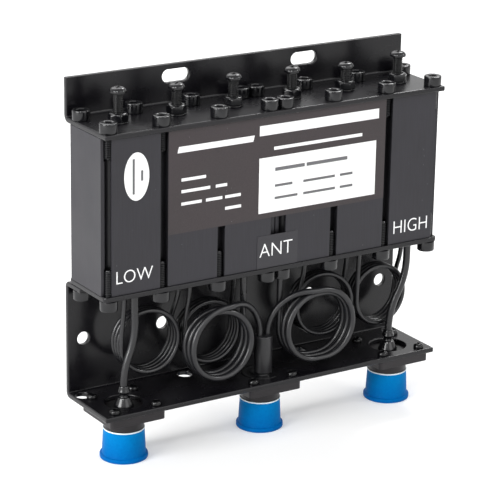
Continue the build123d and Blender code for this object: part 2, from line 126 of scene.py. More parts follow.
def linear(hex_colour: str) -> tuple[float, float, float, float]:
    """Turn an sRGB hex colour into a linear RGBA colour.

    Args:
        hex_colour: A colour such as "#3a393e".

    Returns:
        The linear red, green, blue and an alpha of 1.
    """
    channels = [int(hex_colour[start : start + 2], 16) / 255 for start in (1, 3, 5)]
    toned = [c / 12.92 if c <= 0.04045 else ((c + 0.055) / 1.055) ** 2.4 for c in channels]
    return (toned[0], toned[1], toned[2], 1.0)


def add_node(tree: Tree, kind: str, settings: dict | None = None, links: dict | None = None) -> Node:
    """Add a node with its settings and links.

    Args:
        tree: The node tree that the node goes into.
        kind: The node's type name.
        settings: Attributes of the node, or values of its input sockets.
        links: Output sockets that feed its input sockets, by input name or number.

    Returns:
        The new node.
    """
    node = tree.nodes.new(kind)
    for key, value in (settings or {}).items():
        if isinstance(key, int):
            node.inputs[key].default_value = value
        elif hasattr(node, key):
            setattr(node, key, value)
        else:
            node.inputs[key].default_value = value
    for key, source in (links or {}).items():
        tree.links.new(source, node.inputs[key])
    return node


def worked_out(tree: Tree, operation: str, first: Socket, second: Socket | float) -> Socket:
    """Return what a Math node makes of two values.

    Args:
        tree: The node tree that the node goes into.
        operation: The node's operation.
        first: The first value.
        second: The second value, a socket or a number.

    Returns:
        The result's socket.
    """
    node = add_node(tree, "ShaderNodeMath", {"operation": operation}, {0: first})
    if isinstance(second, float):
        node.inputs[1].default_value = second
    else:
        tree.links.new(second, node.inputs[1])
    return node.outputs[0]


@dataclass(frozen=True)
class Surface:
    """A finish: its colours, gloss, a fine grain that tints and dents it, soft edges, dust specks, and where
    asked painted light rising upwards and painted shade in hollows.
    """

    name: str
    dark: str
    light: str
    roughness: float
    metallic: float = 0.0
    specular: float = 0.5
    grain_mm: float = 0.4
    grain_stretch: Point = (1.0, 1.0, 1.0)
    grain_depth: float = 0.1
    rough_spread: float = 0.06
    edge_mm: float = 0.0
    speck_mm: float = 0.0
    speck: str = "#77777b"
    painted_light_rise_mm: float = 0.0
    painted_shade_mm: float = 0.0

    def build(self) -> bpy.types.Material:
        """Build the finish as a node material on Object coordinates."""
        material = bpy.data.materials.new(self.name)
        material.use_nodes = True
        tree = material.node_tree
        shader = tree.nodes["Principled BSDF"]
        place = add_node(tree, "ShaderNodeTexCoord")
        vector = {"Vector": place.outputs["Object"]}
        stretch = add_node(tree, "ShaderNodeMapping", {"Scale": self.grain_stretch}, vector)
        fine = {"Scale": 1 / (self.grain_mm * MM), "Detail": 3.0, "Roughness": 0.6}
        grain = add_node(tree, "ShaderNodeTexNoise", fine, {"Vector": stretch.outputs["Vector"]})
        mottle = add_node(tree, "ShaderNodeTexNoise", {"Scale": MOTTLE_PER_METRE, "Detail": 4.0}, vector)
        noises = {2: grain.outputs["Fac"], 3: mottle.outputs["Fac"]}
        factor = add_node(tree, "ShaderNodeMix", {"data_type": "FLOAT", 0: MOTTLE_SHARE}, noises).outputs[0]
        # Painted light: the colour grows lighter towards the top.
        if self.painted_light_rise_mm:
            factor = self.painted_light_upwards(tree, place, factor)
        tint = add_node(tree, "ShaderNodeValToRGB", {}, {"Fac": factor})
        for stop, position, tone in zip(tint.color_ramp.elements, RAMP_STOPS, (self.dark, self.light)):
            stop.position = position
            stop.color = linear(tone)
        least, most = self.roughness - self.rough_spread, self.roughness + self.rough_spread
        low, high = NOISE_SPAN
        spread = {"From Min": low, "From Max": high, "To Min": least, "To Max": most}
        gloss = add_node(tree, "ShaderNodeMapRange", spread, {"Value": mottle.outputs["Fac"]})
        relief = {"Strength": self.grain_depth, "Distance": DENT_MM * MM}
        dent = add_node(tree, "ShaderNodeBump", relief, {"Height": grain.outputs["Fac"]})
        if self.edge_mm:
            edge = add_node(tree, "ShaderNodeBevel", {"samples": 6, "Radius": self.edge_mm * MM})
            tree.links.new(edge.outputs["Normal"], dent.inputs["Normal"])
        colour = tint.outputs["Color"]
        if self.speck_mm:
            colour = self.specks(tree, place, colour)
        # Painted shade: the colour darkens deep in narrow hollows.
        if self.painted_shade_mm:
            colour = self.painted_hollow_shade(tree, colour)
        shader.inputs["Metallic"].default_value = self.metallic
        shader.inputs["Specular IOR Level"].default_value = self.specular
        tree.links.new(colour, shader.inputs["Base Color"])
        tree.links.new(gloss.outputs["Result"], shader.inputs["Roughness"])
        tree.links.new(dent.outputs["Normal"], shader.inputs["Normal"])
        return material

    def painted_light_upwards(self, tree: Tree, place: Node, factor: Socket) -> Socket:
        """Let the lighter colour grow with height: painted light, as if light came through a thin wall.

        Args:
            tree: The material's node tree.
            place: Its texture coordinates.
            factor: What the colour followed so far.

        Returns:
            The new factor, from dark below to light at the top.
        """
        parts = add_node(tree, "ShaderNodeSeparateXYZ", {}, {"Vector": place.outputs["Object"]})
        rise = {"From Max": self.painted_light_rise_mm * MM, "To Min": 0.32, "To Max": 0.68}
        height = add_node(tree, "ShaderNodeMapRange", rise, {"Value": parts.outputs["Z"]})
        two = {2: factor, 3: height.outputs["Result"]}
        return add_node(tree, "ShaderNodeMix", {"data_type": "FLOAT", 0: 0.7}, two).outputs[0]

    def specks(self, tree: Tree, place: Node, colour: Socket) -> Socket:
        """Scatter a few pale dust specks and nicks over the colour.

        Args:
            tree: The material's node tree.
            place: Its texture coordinates.
            colour: The colour under the specks.

        Returns:
            The colour with its specks.
        """
        sown = {"Scale": 1 / (12 * self.speck_mm * MM), "Randomness": 1.0}
        cells = add_node(tree, "ShaderNodeTexVoronoi", sown, {"Vector": place.outputs["Object"]})
        near = worked_out(tree, "LESS_THAN", cells.outputs["Distance"], 0.05)
        channels = add_node(tree, "ShaderNodeSeparateColor", {}, {"Color": cells.outputs["Color"]})
        rare = worked_out(tree, "GREATER_THAN", channels.outputs["Red"], 0.8)
        both = {0: worked_out(tree, "MULTIPLY", near, rare), 6: colour}
        return add_node(tree, "ShaderNodeMix", {"data_type": "RGBA", 7: linear(self.speck)}, both).outputs[2]

    def painted_hollow_shade(self, tree: Tree, colour: Socket) -> Socket:
        """Darken the colour deep in narrow channels: painted shade, where little light reaches.

        Args:
            tree: The material's node tree.
            colour: The colour in the open.

        Returns:
            The colour, darker where little open space lies round it.
        """
        room = add_node(tree, "ShaderNodeAmbientOcclusion", {"samples": 8, "Distance": self.painted_shade_mm * MM})
        fall = {"From Min": 0.2, "From Max": 0.75, "To Min": 0.25}
        share = add_node(tree, "ShaderNodeMapRange", fall, {"Value": room.outputs["AO"]})
        times = {"data_type": "RGBA", "blend_type": "MULTIPLY", 0: 1.0}
        return add_node(tree, "ShaderNodeMix", times, {6: colour, 7: share.outputs["Result"]}).outputs[2]


# Black powder coat on steel sheet: deep black, a satin gloss with a faint orange peel, soft bright edges.
POWDER_COAT = Surface(
    "black_powder_coat", "#0b0a0d", "#100f13", 0.26, specular=0.36, grain_mm=0.5,
    edge_mm=0.45, speck_mm=0.25, speck="#323234",
)
# Black anodised extrusion: an even dark grey with faint die lines along its length, a few dust specks, and
# painted shade deep in its channels.
ANODISED = Surface(
    "anodised_extrusion", "#28272b", "#2e2d32", 0.42, metallic=0.15, specular=0.35, grain_mm=0.35,
    grain_stretch=(1.0, 1.0, 0.03), grain_depth=0.08, edge_mm=0.2, speck_mm=0.2, painted_shade_mm=6.0,
)
# Black oxide on machined screws: oily black, with sharp highlights round the heads and sockets.
BLACK_OXIDE = Surface("black_oxide_screw", "#0c0c0e", "#121215", 0.18, metallic=0.1, grain_mm=0.25)
# A darker copy of the same oxide on the small port screws: painted shade, nearly black between two sharp
# glints.
SHADED_OXIDE = Surface(
    "oiled_oxide_screw", "#060607", "#0a0a0c", 0.15, specular=0.32, grain_mm=0.25, grain_depth=0.06
)
# Black zinc on the tuning screws and nuts: glossier than the oxide, almost wet.
BLACK_ZINC = Surface(
    "black_zinc_screw", "#08080a", "#0d0d10", 0.15, specular=0.42, grain_mm=0.3,
    grain_depth=0.08, edge_mm=0.12,
)
# Rolled threads of the same screws, in a darker copy of the zinc: painted shade of the grooves.
THREAD_SHADE = Surface(
    "rolled_thread", "#050506", "#09090a", 0.24, specular=0.3, grain_mm=0.3, grain_depth=0.06
)
# Dark nickel plate on the turned barrels, with fine turning lines round them.
DARK_NICKEL = Surface(
    "dark_nickel_plate", "#201e20", "#292628", 0.36, metallic=0.3, specular=0.4, grain_mm=0.25,
    grain_stretch=(0.05, 0.05, 1.0), grain_depth=0.2, edge_mm=0.2,
)
# PVC jacket of the coax: extruded, softly glossy, very slightly uneven.
JACKET = Surface("pvc_cable_jacket", "#131315", "#1a1a1d", 0.3, grain_mm=0.8)
# Moulded rubber boots over the port tails: a bright sheen down their flanks.
BOOT_RUBBER = Surface("moulded_rubber", "#0b0b0d", "#111113", 0.22, grain_depth=0.08)
# Heat-shrunk polyolefin sleeve: smooth, with a soft grey sheen.
SHRINK_SLEEVE = Surface("heat_shrink_sleeve", "#1d1d1f", "#272629", 0.4, grain_mm=0.7, grain_depth=0.12)
# Soft vinyl dust caps: a saturated cyan-blue, waxy, painted lighter towards the top as painted light through
# the thin wall.
BLUE_VINYL = Surface(
    "blue_vinyl_cap", "#005a9f", "#0077b8", 0.42, specular=0.03, grain_mm=0.9, grain_depth=0.04, painted_light_rise_mm=14.0
)
# A near-white ring on the caps' lips: a painted highlight along the rim of each cap's mouth.
LIP_HIGHLIGHT = Surface("vinyl_cut_lip", "#e0f1f7", "#f0f9fb", 0.4, grain_depth=0.05)
# Bare copper wire in the cavities.
COPPER = Surface("bare_copper_wire", "#b5673e", "#c97d50", 0.25, metallic=1.0)
# Port insulators made black and dull: painted shade for the dark inside of the port holes.
SHADED_INSULATOR = Surface("black_phenolic", "#0b0b0c", "#131314", 0.5, grain_mm=0.3)
# Turned brass contacts.
BRASS = Surface("turned_brass", "#b18d45", "#c9a55c", 0.25, metallic=1.0, grain_mm=0.2)
# Printed foil on the front: a warm dark grey, smoother than the extrusion.
PANEL_FOIL = Surface(
    "printed_panel_foil", "#2f292a", "#362f31", 0.5, specular=0.4, grain_mm=0.6,
    grain_depth=0.04, speck_mm=0.2,
)
# Clear foil under the middle port's word: it only greys the extrusion a little.
CLEAR_FOIL = Surface(
    "clear_port_foil", "#2d2c30", "#313034", 0.36, specular=0.35, grain_mm=0.6, grain_depth=0.03
)
# White screen ink, a little raised.
WHITE_INK = Surface("white_screen_ink", "#efefef", "#f7f7f7", 0.5, grain_mm=0.3, grain_depth=0.03)
# White paper stickers.
WHITE_PAPER = Surface("white_paper_sticker", "#f4f4f3", "#fbfbfa", 0.55, grain_mm=0.5, grain_depth=0.03)
# Grey print on the stickers.
GREY_INK = Surface("grey_printer_ink", "#5a5a5c", "#6a6a6c", 0.6, grain_mm=0.3, grain_depth=0.03)

FINISH_OF_SLOT: dict[Slot, Surface] = {
    Slot.ANODISED: ANODISED,
    Slot.PAINT: POWDER_COAT,
    Slot.OXIDE: BLACK_OXIDE,
    Slot.HARDWARE: BLACK_ZINC,
    Slot.COPPER: COPPER,
    Slot.NICKEL: DARK_NICKEL,
    Slot.INSULATOR: SHADED_INSULATOR,
    Slot.BRASS: BRASS,
    Slot.VINYL: BLUE_VINYL,
    Slot.RUBBER: BOOT_RUBBER,
    Slot.SLEEVE: SHRINK_SLEEVE,
    Slot.JACKET: JACKET,
}


class Palette:
    """Builds each finish once and hands it out."""

    def __init__(self) -> None:
        """Start with no finish built."""
        self._built: dict[str, bpy.types.Material] = {}

    def __getitem__(self, surface: Surface) -> bpy.types.Material:
        """Return the material of a finish."""
        if surface.name not in self._built:
            self._built[surface.name] = surface.build()
        return self._built[surface.name]


def plain_mesh(piece: Piece) -> bpy.types.Mesh:
    """Return the mesh that an object's modifiers give."""
    bpy.context.view_layer.update()
    return bpy.data.meshes.new_from_object(piece.evaluated_get(bpy.context.evaluated_depsgraph_get()))


def linked(name: str, data: bpy.types.ID) -> Piece:
    """Return a new object of the scene with the given mesh, curve, camera or lamp."""
    piece = bpy.data.objects.new(name, data)
    bpy.context.collection.objects.link(piece)
    return piece


def solid_piece(name: str, form: Form, material: bpy.types.Material) -> Piece:
    """Make an object at the origin from vertices in millimetres.

    Args:
        name: The piece's name.
        form: Its points in millimetres in the row frame, and its faces as vertex numbers, pointing outwards.
        material: Its finish.

    Returns:
        The new object, linked to the scene.
    """
    mesh = bpy.data.meshes.new(name)
    mesh.from_pydata([tuple(MM * c for c in v) for v in form[0]], [], form[1])
    mesh.materials.append(material)
    return linked(name, mesh)


def settle(piece: Piece, body: str, node: str = "") -> None:
    """Give a finished piece its body, and hide the node that it replaces.

    Args:
        piece: The piece.
        body: The body that it rides on.
        node: The frame's node that it stands for, if any.
    """
    if node:
        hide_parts(node)
    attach(piece, body)
    log.info("%s: %d faces", piece.name, len(piece.data.polygons))


def rounded_edges(piece: Piece, width: float, segments: int, turn_degrees: float) -> None:
    """Round a piece's sharp edges, keep its flat faces flat in the light, and make it a plain mesh.

    Args:
        piece: The piece.
        width: How wide the edges are rounded, in millimetres.
        segments: How many strips each edge gets.
        turn_degrees: The angle from which an edge counts as sharp.
    """
    soft = piece.modifiers.new("edges", "BEVEL")
    soft.width = width * MM
    soft.segments = segments
    soft.limit_method = "ANGLE"
    soft.angle_limit = math.radians(turn_degrees)
    soft.use_clamp_overlap = False
    flat = piece.modifiers.new("flat_faces", "WEIGHTED_NORMAL")
    flat.weight = 100
    mesh = plain_mesh(piece)
    piece.modifiers.clear()
    piece.data = mesh


class GrowingTree:
    """A Geometry Nodes tree whose result is realised, given a finish and kept as a plain mesh."""

    def __init__(self, name: str, inputs: dict[str, str]) -> None:
        """Start a tree.

        Args:
            name: Its name.
            inputs: Socket types by the names of its inputs; "Finish" is added.
        """
        self.group = bpy.data.node_groups.new(name, "GeometryNodeTree")
        for label, kind in {**inputs, "Finish": "NodeSocketMaterial"}.items():
            self.group.interface.new_socket(label, in_out="INPUT", socket_type=kind)
        self.group.interface.new_socket("Geometry", in_out="OUTPUT", socket_type="NodeSocketGeometry")
        self.given = self.group.nodes.new("NodeGroupInput").outputs

    def close(self, result: Socket) -> None:
        """End the tree: realise its instances and set its finish."""
        whole = add_node(self.group, "GeometryNodeRealizeInstances", {}, {"Geometry": result})
        dress = {"Geometry": whole.outputs["Geometry"], "Material": self.given["Finish"]}
        dressed = add_node(self.group, "GeometryNodeSetMaterial", {}, dress)
        add_node(self.group, "NodeGroupOutput", {}, {"Geometry": dressed.outputs["Geometry"]})

    def grow(self, carrier: Piece, values: dict[str, object]) -> bpy.types.Mesh:
        """Run the tree on an object and remove that object.

        Args:
            carrier: The object whose mesh is the tree's geometry.
            values: The inputs by name.

        Returns:
            The result as a plain mesh.
        """
        modifier = carrier.modifiers.new(self.group.name, "NODES")
        modifier.node_group = self.group
        for socket in self.group.interface.items_tree:
            if socket.in_out == "INPUT" and socket.name in values:
                modifier[socket.identifier] = values[socket.name]
        mesh = plain_mesh(carrier)
        bpy.data.objects.remove(carrier)
        return mesh


def between(first: list[Point], last: list[Point]) -> Form:
    """Close a solid between two outlines that run anticlockwise as seen from beyond the last one.

    Args:
        first: The points of one end.
        last: The points of the other end, as many.

    Returns:
        The vertices and faces of the solid.
    """
    count = len(first)
    faces: list[tuple[int, ...]] = [tuple(reversed(range(count))), tuple(range(count, 2 * count))]
    faces += [(i, (i + 1) % count, (i + 1) % count + count, i + count) for i in range(count)]
    return first + last, faces


def merged(forms: list[Form]) -> Form:
    """Return several solids as one form."""
    vertices: list[Point] = []
    faces: list[tuple[int, ...]] = []
    for points, sides in forms:
        faces += [tuple(i + len(vertices) for i in side) for side in sides]
        vertices += points
    return vertices, faces


def rectangle(left: float, right: float, low: float, high: float, slant: float = 0.0) -> Outline:
    """Return a rectangle's corners, leaning to the right by slant millimetres at its top."""
    return [(left, low), (right, low), (right + slant, high), (left + slant, high)]


def ellipse(x: float, z: float, half_width: float, half_height: float, steps: int = 64) -> Outline:
    """Return the points of an ellipse."""
    turns = [2 * math.pi * i / steps for i in range(steps)]
    return [(x + half_width * math.cos(t), z + half_height * math.sin(t)) for t in turns]


@dataclass
class FrontPanel:
    """Foil, stickers and print on the front of the cavity blocks. Sizes are in millimetres."""

    palette: Palette
    face_y: float
    foil_t: float = 0.15
    paper_t: float = 0.1
    ink_t: float = 0.04
    foil: tuple[float, float, float, float] = (-49.85, 49.8, 91.5, 132.3)
    sticker: tuple[float, float, float, float] = (-9.45, 45.35, 93.75, 116.0)
    ant_patch: tuple[float, float, float, float] = (-9.7, 9.1, 71.1, 84.4)
    oval_centre: Flat = (-63.5, 116.65)
    oval_size: Flat = (10.7, 18.7)

    def slab(
        self, name: str, outlines: list[Outline], base: float, thickness: float, surface: Surface
    ) -> None:
        """Lay thin slabs on the front.

        Args:
            name: The piece's name.
            outlines: One outline for each slab, anticlockwise as seen from the front.
            base: How far their backs stand in front of the blocks.
            thickness: Their thickness.
            surface: Their finish.
        """
        ys = (self.face_y - base, self.face_y - base - thickness)
        forms = [between(*([(x, y, z) for x, z in outline] for y in ys)) for outline in outlines]
        settle(solid_piece(name, merged(forms), self.palette[surface]), HOUSING)

    def legend(self, word: str, left: float, low: float, base: float, width: float, height: float) -> None:
        """Print a port's word on the front.

        Args:
            word: The word.
            left: X of its left edge.
            low: Z of its foot.
            base: How far the surface it is printed on stands in front of the blocks.
            width: Its width.
            height: The height of its capitals.
        """
        curve = bpy.data.curves.new(f"legend_{word.lower()}", "FONT")
        curve.body = word
        curve.size = 1.0
        curve.resolution_u = 4
        curve.offset = -0.012
        curve.extrude = 0.5
        flat = linked(curve.name, curve)
        mesh = plain_mesh(flat)
        bpy.data.objects.remove(flat)
        xs = [v.co.x for v in mesh.vertices]
        ys = [v.co.y for v in mesh.vertices]
        scale_x = width / (max(xs) - min(xs))
        scale_z = height / (max(ys) - min(ys))
        for v in mesh.vertices:
            x = left + (v.co.x - min(xs)) * scale_x
            z = low + (v.co.y - min(ys)) * scale_z
            y = self.face_y - base - self.ink_t * (v.co.z + 0.5)
            v.co = Vector((x, y, z)) * MM
        mesh.materials.clear()
        mesh.materials.append(self.palette[WHITE_INK])
        settle(linked(curve.name, mesh), HOUSING)

    def build(self) -> None:
        """Lay the foil, the stickers, the plain print bars and the port legends."""
        self.slab("panel_foil", [rectangle(*self.foil)], 0.0, self.foil_t, PANEL_FOIL)
        self.slab("middle_port_foil", [rectangle(*self.ant_patch)], 0.0, self.foil_t, CLEAR_FOIL)
        self.slab("data_sticker", [rectangle(*self.sticker)], self.foil_t, self.paper_t, WHITE_PAPER)
        oval = ellipse(*self.oval_centre, self.oval_size[0] / 2, self.oval_size[1] / 2)
        self.slab("check_sticker", [oval], 0.0, self.paper_t, WHITE_PAPER)
        self.slab("foil_print", self.title_bars() + self.row_bars(), self.foil_t, self.ink_t, WHITE_INK)
        self.slab("sticker_print", self.sticker_bars(), self.foil_t + self.paper_t, self.ink_t, GREY_INK)
        self.slab("check_print", self.check_bars(), self.paper_t, self.ink_t, GREY_INK)
        self.legend("LOW", -72.2, 75.6, 0.0, 15.8, 5.0)
        self.legend("ANT", -8.6, 75.8, self.foil_t, 15.2, 5.3)
        self.legend("HIGH", 55.6, 75.2, 0.0, 16.7, 5.4)

    def title_bars(self) -> list[Outline]:
        """Return the plain bands where the headings stood."""
        heading, line = rectangle(-9.5, 46.3, 124.9, 128.9), rectangle(-2.8, 38.5, 118.6, 119.9)
        return [heading, line, rectangle(-46.0, -12.4, 123.2, 125.6, 0.6)]

    def row_bars(self) -> list[Outline]:
        """Return the slim bars of the small rows at the foil's left."""
        rows = (
            (112.5, ((-44.2, 10.8),)),
            (107.9, ((-44.2, 12.7), (-29.0, 5.1))),
            (103.0, ((-44.2, 9.0), (-33.3, 7.3), (-24.7, 7.0))),
            (98.4, ((-24.7, 7.2),)),
        )
        return [rectangle(x, x + w, z - 0.6, z + 0.6) for z, bars in rows for x, w in bars]

    def sticker_bars(self) -> list[Outline]:
        """Return the print bars on the white sticker."""
        rows = (
            (110.8, 0.7, ((-2.2, 13.7), (12.4, 19.2))),
            (104.2, 0.5, ((-2.2, 8.1), (11.0, 14.9), (28.3, 6.0))),
            (99.2, 0.5, ((-2.2, 10.6), (11.1, 15.0), (28.4, 6.0))),
        )
        return [rectangle(x, x + w, z - h, z + h) for z, h, bars in rows for x, w in bars]

    def check_bars(self) -> list[Outline]:
        """Return the two upright print bars on the oval sticker."""
        return [rectangle(-65.3, -64.4, 109.9, 123.6), rectangle(-61.7, -60.8, 114.8, 118.8)]


def smooth_but_creased(mesh: bpy.types.Mesh, crease_degrees: float = 32.0) -> None:
    """Shade a mesh smooth, apart from the edges that turn by more than the given angle.

    Args:
        mesh: The mesh.
        crease_degrees: The angle from which an edge stays sharp.
    """
    form = bmesh.new()
    form.from_mesh(mesh)
    for face in form.faces:
        face.smooth = True
    for edge in form.edges:
        edge.smooth = edge.calc_face_angle(0.0) < math.radians(crease_degrees)
    form.to_mesh(mesh)
    form.free()


def turned(rings: list[tuple[float, float, Ring]], sides: int = 48) -> Form:
    """Turn a solid about the Z axis from rings given from its foot to its top or into its socket.

    Args:
        rings: Radius, level and shape of each ring; a hexagon's radius is half its width across flats.
        sides: How many points each ring has, a multiple of six.

    Returns:
        The vertices and faces of a closed solid.
    """
    vertices: list[Point] = []
    for radius, level, shape in rings:
        for i in range(sides):
            turn = 2 * math.pi * i / sides
            reach = radius
            if shape is Ring.HEX:
                reach = radius / math.cos((turn % (math.pi / 3)) - math.pi / 6)
            vertices.append((reach * math.cos(turn), reach * math.sin(turn), level))
    faces: list[tuple[int, ...]] = []
    for ring in range(len(rings) - 1):
        for i in range(sides):
            j = (i + 1) % sides
            low, high = ring * sides, (ring + 1) * sides
            faces.append((low + i, low + j, high + j, high + i))
    faces.append(tuple(reversed(range(sides))))
    faces.append(tuple(range((len(rings) - 1) * sides, len(rings) * sides)))
    return vertices, faces


def rings_of(shape: Ring, *profile: Flat) -> list[tuple[float, float, Ring]]:
    """Return rings of one shape from their radii and levels."""
    return [(radius, level, shape) for radius, level in profile]


def rounded_outline(corners: list[Point], steps: int = 8) -> Outline:
    """Round the corners of a closed outline.

    Args:
        corners: Both coordinates and the radius of each corner.
        steps: How many pieces each rounded corner has.

    Returns:
        The outline's points.
    """
    points: Outline = []
    for i, (a, b, radius) in enumerate(corners):
        here = Vector((a, b))
        back = (Vector(corners[i - 1][:2]) - here).normalized()
        on = (Vector(corners[(i + 1) % len(corners)][:2]) - here).normalized()
        if radius == 0:
            points.append((a, b))
            continue
        centre = here + (back + on) * radius
        for step in range(steps + 1):
            turn = math.pi / 2 * step / steps
            spot = centre - on * radius * math.cos(turn) - back * radius * math.sin(turn)
            points.append((spot.x, spot.y))
    return points


def cavity_axes() -> Outline:
    """Return the axes of the six cavities in millimetres, from the tuning screws."""
    boxes = [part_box(f"tuning_screw_{number}") for number in CAVITIES]
    return [((low[0] + high[0]) / 2 / MM, (low[1] + high[1]) / 2 / MM) for low, high in boxes]


@dataclass
class BentBrackets:
    """The two folded sheets, with the bend radii, soft edges and corners that their coat shows."""

    palette: Palette
    sheet: float = SHEET
    edge: float = 0.45
    top_bend: float = 0.9
    low_bend: float = 0.5
    tuning_hole_r: float = 2.2
    cap_hole_r: float = 2.25
    bolt_r: float = 2.6
    flange_slot_xs: Flat = (-29.6, 29.6)
    flange_slot_rise: float = 10.6
    flange_slot_run: float = 3.5
    lip_depth: float = 12.0
    wall_hole_xs: tuple[float, ...] = (-70.7, -35.1, 35.1, 70.7)
    wall_hole_z: float = 44.4
    port_hole_r: float = 7.6
    shelf_slot_xs: tuple[float, ...] = (-73.6, -27.3, 27.3, 73.6)
    shelf_slot_inset: float = 6.35
    shelf_slot_r: float = 2.95
    shelf_slot_run: float = 0.35
    hole_sides: int = 40
    pin_half: float = 2.0

    def section(self, name: str, corners: list[Point], half_width: float) -> Piece:
        """Extrude a folded sheet's section across the whole width.

        Args:
            name: The piece's name.
            corners: Y, Z and bend radius of the section's corners, clockwise as seen from the right end.
            half_width: Half the sheet's width.

        Returns:
            The sheet, before its holes are cut.
        """
        left, right = ([(x, y, z) for y, z in rounded_outline(corners)] for x in (-half_width, half_width))
        return solid_piece(name, between(left, right), self.palette[POWDER_COAT])

    def cutter(self, name: str, holes: list[Hole]) -> Piece:
        """Make the pins that cut holes and slots.

        Args:
            name: The cutter's name.
            holes: Each hole's centre, its axis, its radius and how long a slot runs beyond it.

        Returns:
            One object with all pins.
        """
        forms = []
        for centre, axis, radius, run in holes:
            along = Vector(axis)
            side = Vector((1, 0, 0)) if axis[1] else Vector((0, 1, 0))
            up = along.cross(side)
            ends: list[list[Point]] = [[], []]
            for points, end in zip(ends, (-self.pin_half, self.pin_half)):
                for i in range(self.hole_sides):
                    turn = 2 * math.pi * (i + 0.5) / self.hole_sides
                    reach = radius * math.cos(turn) + math.copysign(run, math.cos(turn))
                    spot = Vector(centre) + along * end + side * reach + up * radius * math.sin(turn)
                    points.append(tuple(spot))
            forms.append(between(*ends))
        return solid_piece(name, merged(forms), self.palette[POWDER_COAT])

    def finish(self, piece: Piece, holes: list[Hole], node: str) -> None:
        """Cut the holes, soften the edges and let the piece stand for its node.

        Args:
            piece: The folded sheet.
            holes: Its holes and slots.
            node: The frame's node that it stands for.
        """
        pins = self.cutter(f"{piece.name}_pins", holes)
        for face in piece.data.polygons:
            face.use_smooth = True
        cut = piece.modifiers.new("holes", "BOOLEAN")
        cut.object = pins
        cut.operation = "DIFFERENCE"
        cut.solver = "EXACT"
        rounded_edges(piece, self.edge, 4, 45)
        bpy.data.objects.remove(pins)
        settle(piece, HOUSING, node)

    def extent(self, node: str) -> tuple[float, float, float, float, float]:
        """Return half the width, front, back, foot and top of a bracket in millimetres."""
        low, high = (tuple(c / MM for c in corner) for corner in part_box(node))
        return high[0], low[1], high[1], low[2], high[2]

    def build(self) -> None:
        """Fold the top bracket and the lower bracket."""
        self.fold_top()
        self.fold_lower()

    def fold_top(self) -> None:
        """Fold the top bracket: a plate on the blocks and a flange with two slots behind it."""
        half_width, front, back, foot, top = self.extent("top_bracket")
        t, bend = self.sheet, self.top_bend
        corners = [
            (front, foot, 0), (back, foot, bend + t), (back, top, 0),
            (back - t, top, 0), (back - t, foot + t, bend), (front, foot + t, 0),
        ]
        piece = self.section("folded_top_bracket", corners, half_width)
        middle = foot + t / 2
        cavities = cavity_axes()
        holes = [((x, cavities[0][1], middle), UP, self.tuning_hole_r, 0.0) for x, _ in cavities]
        holes += [((x, y, middle), UP, self.cap_hole_r, 0.0) for x, y in self.screw_spots()]
        slot_z = foot + t + self.flange_slot_rise
        run = self.flange_slot_run
        holes += [((x, back - t / 2, slot_z), BACK, self.bolt_r, run) for x in self.flange_slot_xs]
        self.finish(piece, holes, "top_bracket")

    def fold_lower(self) -> None:
        """Fold the lower bracket: a lip under the bottom plate, the wall, and the shelf of the ports."""
        half_width, front, back, foot, top = self.extent("lower_bracket")
        t, bend = self.sheet, self.low_bend
        lip = back - self.lip_depth
        corners = [
            (lip, top, 0), (lip, top - t, 0), (back - t, top - t, bend), (back - t, foot + t, bend),
            (front, foot + t, 0), (front, foot, 0), (back, foot, bend + t), (back, top, bend + t),
        ]
        piece = self.section("folded_lower_bracket", corners, half_width)
        middle = foot + t / 2
        holes = [((x, back - t / 2, self.wall_hole_z), BACK, self.bolt_r, 0.0) for x in self.wall_hole_xs]
        holes += [((x, PORT_Y, middle), UP, self.port_hole_r, 0.0) for x in PORT_XS.values()]
        y, radius, run = back - self.shelf_slot_inset, self.shelf_slot_r, self.shelf_slot_run
        holes += [((x, y, middle), UP, radius, run) for x in self.shelf_slot_xs]
        self.finish(piece, holes, "lower_bracket")

    def screw_spots(self) -> Outline:
        """Return the axes of the sixteen cap screws, from the cavities between them."""
        return [(x, y) for x in CapScrews.columns() for y in CapScrews.rows()]


